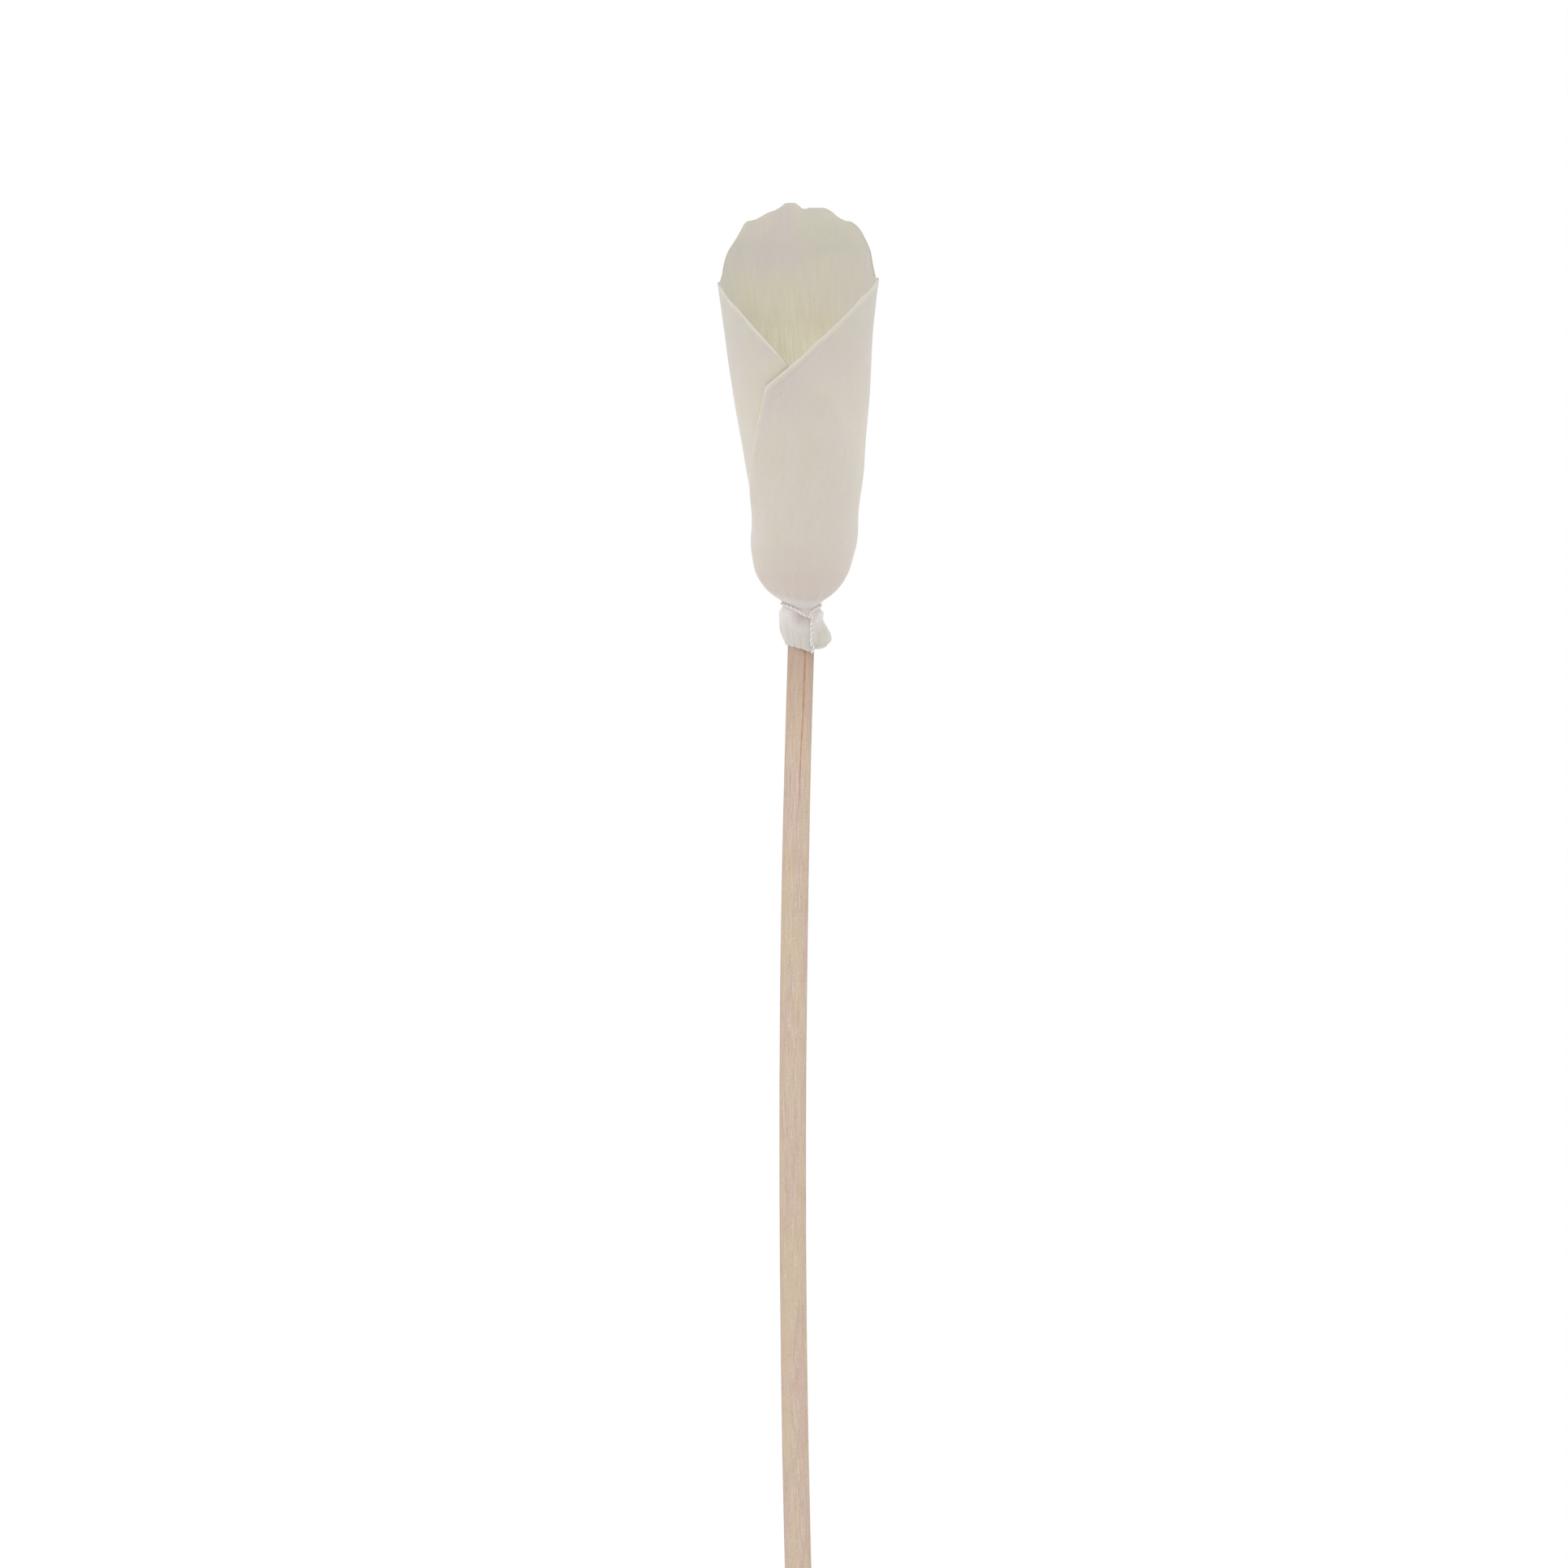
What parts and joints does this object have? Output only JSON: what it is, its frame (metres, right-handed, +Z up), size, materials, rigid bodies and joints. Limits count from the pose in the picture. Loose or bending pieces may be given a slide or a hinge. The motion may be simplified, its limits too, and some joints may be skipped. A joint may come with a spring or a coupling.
{
  "type": "diffuser reed flower",
  "caption": "Calla lily rolled from a thin sheet of plant pith, tied with twisted thread near the top of a slim rattan reed that stands in a scent bottle or a vase.",
  "frame": {"origin": "centre of the reed's bottom end", "axes": "+Z up along the reed's foot towards the flower, -Y out of the flower's open front, +X to the right when facing that front"},
  "size_m": [0.0303, 0.0304, 0.3],
  "materials": {
    "rattan": "bare, fine long fibres",
    "pith_sheet": "matt, soft, slightly translucent",
    "thread": "matt two-ply twist"
  },
  "bodies": {
    "root": {"stem": "rattan", "spathe": "pith_sheet", "thread_winding": "thread", "thread_knot": "thread", "thread_tail": "thread"}
  },
  "joints": []
}
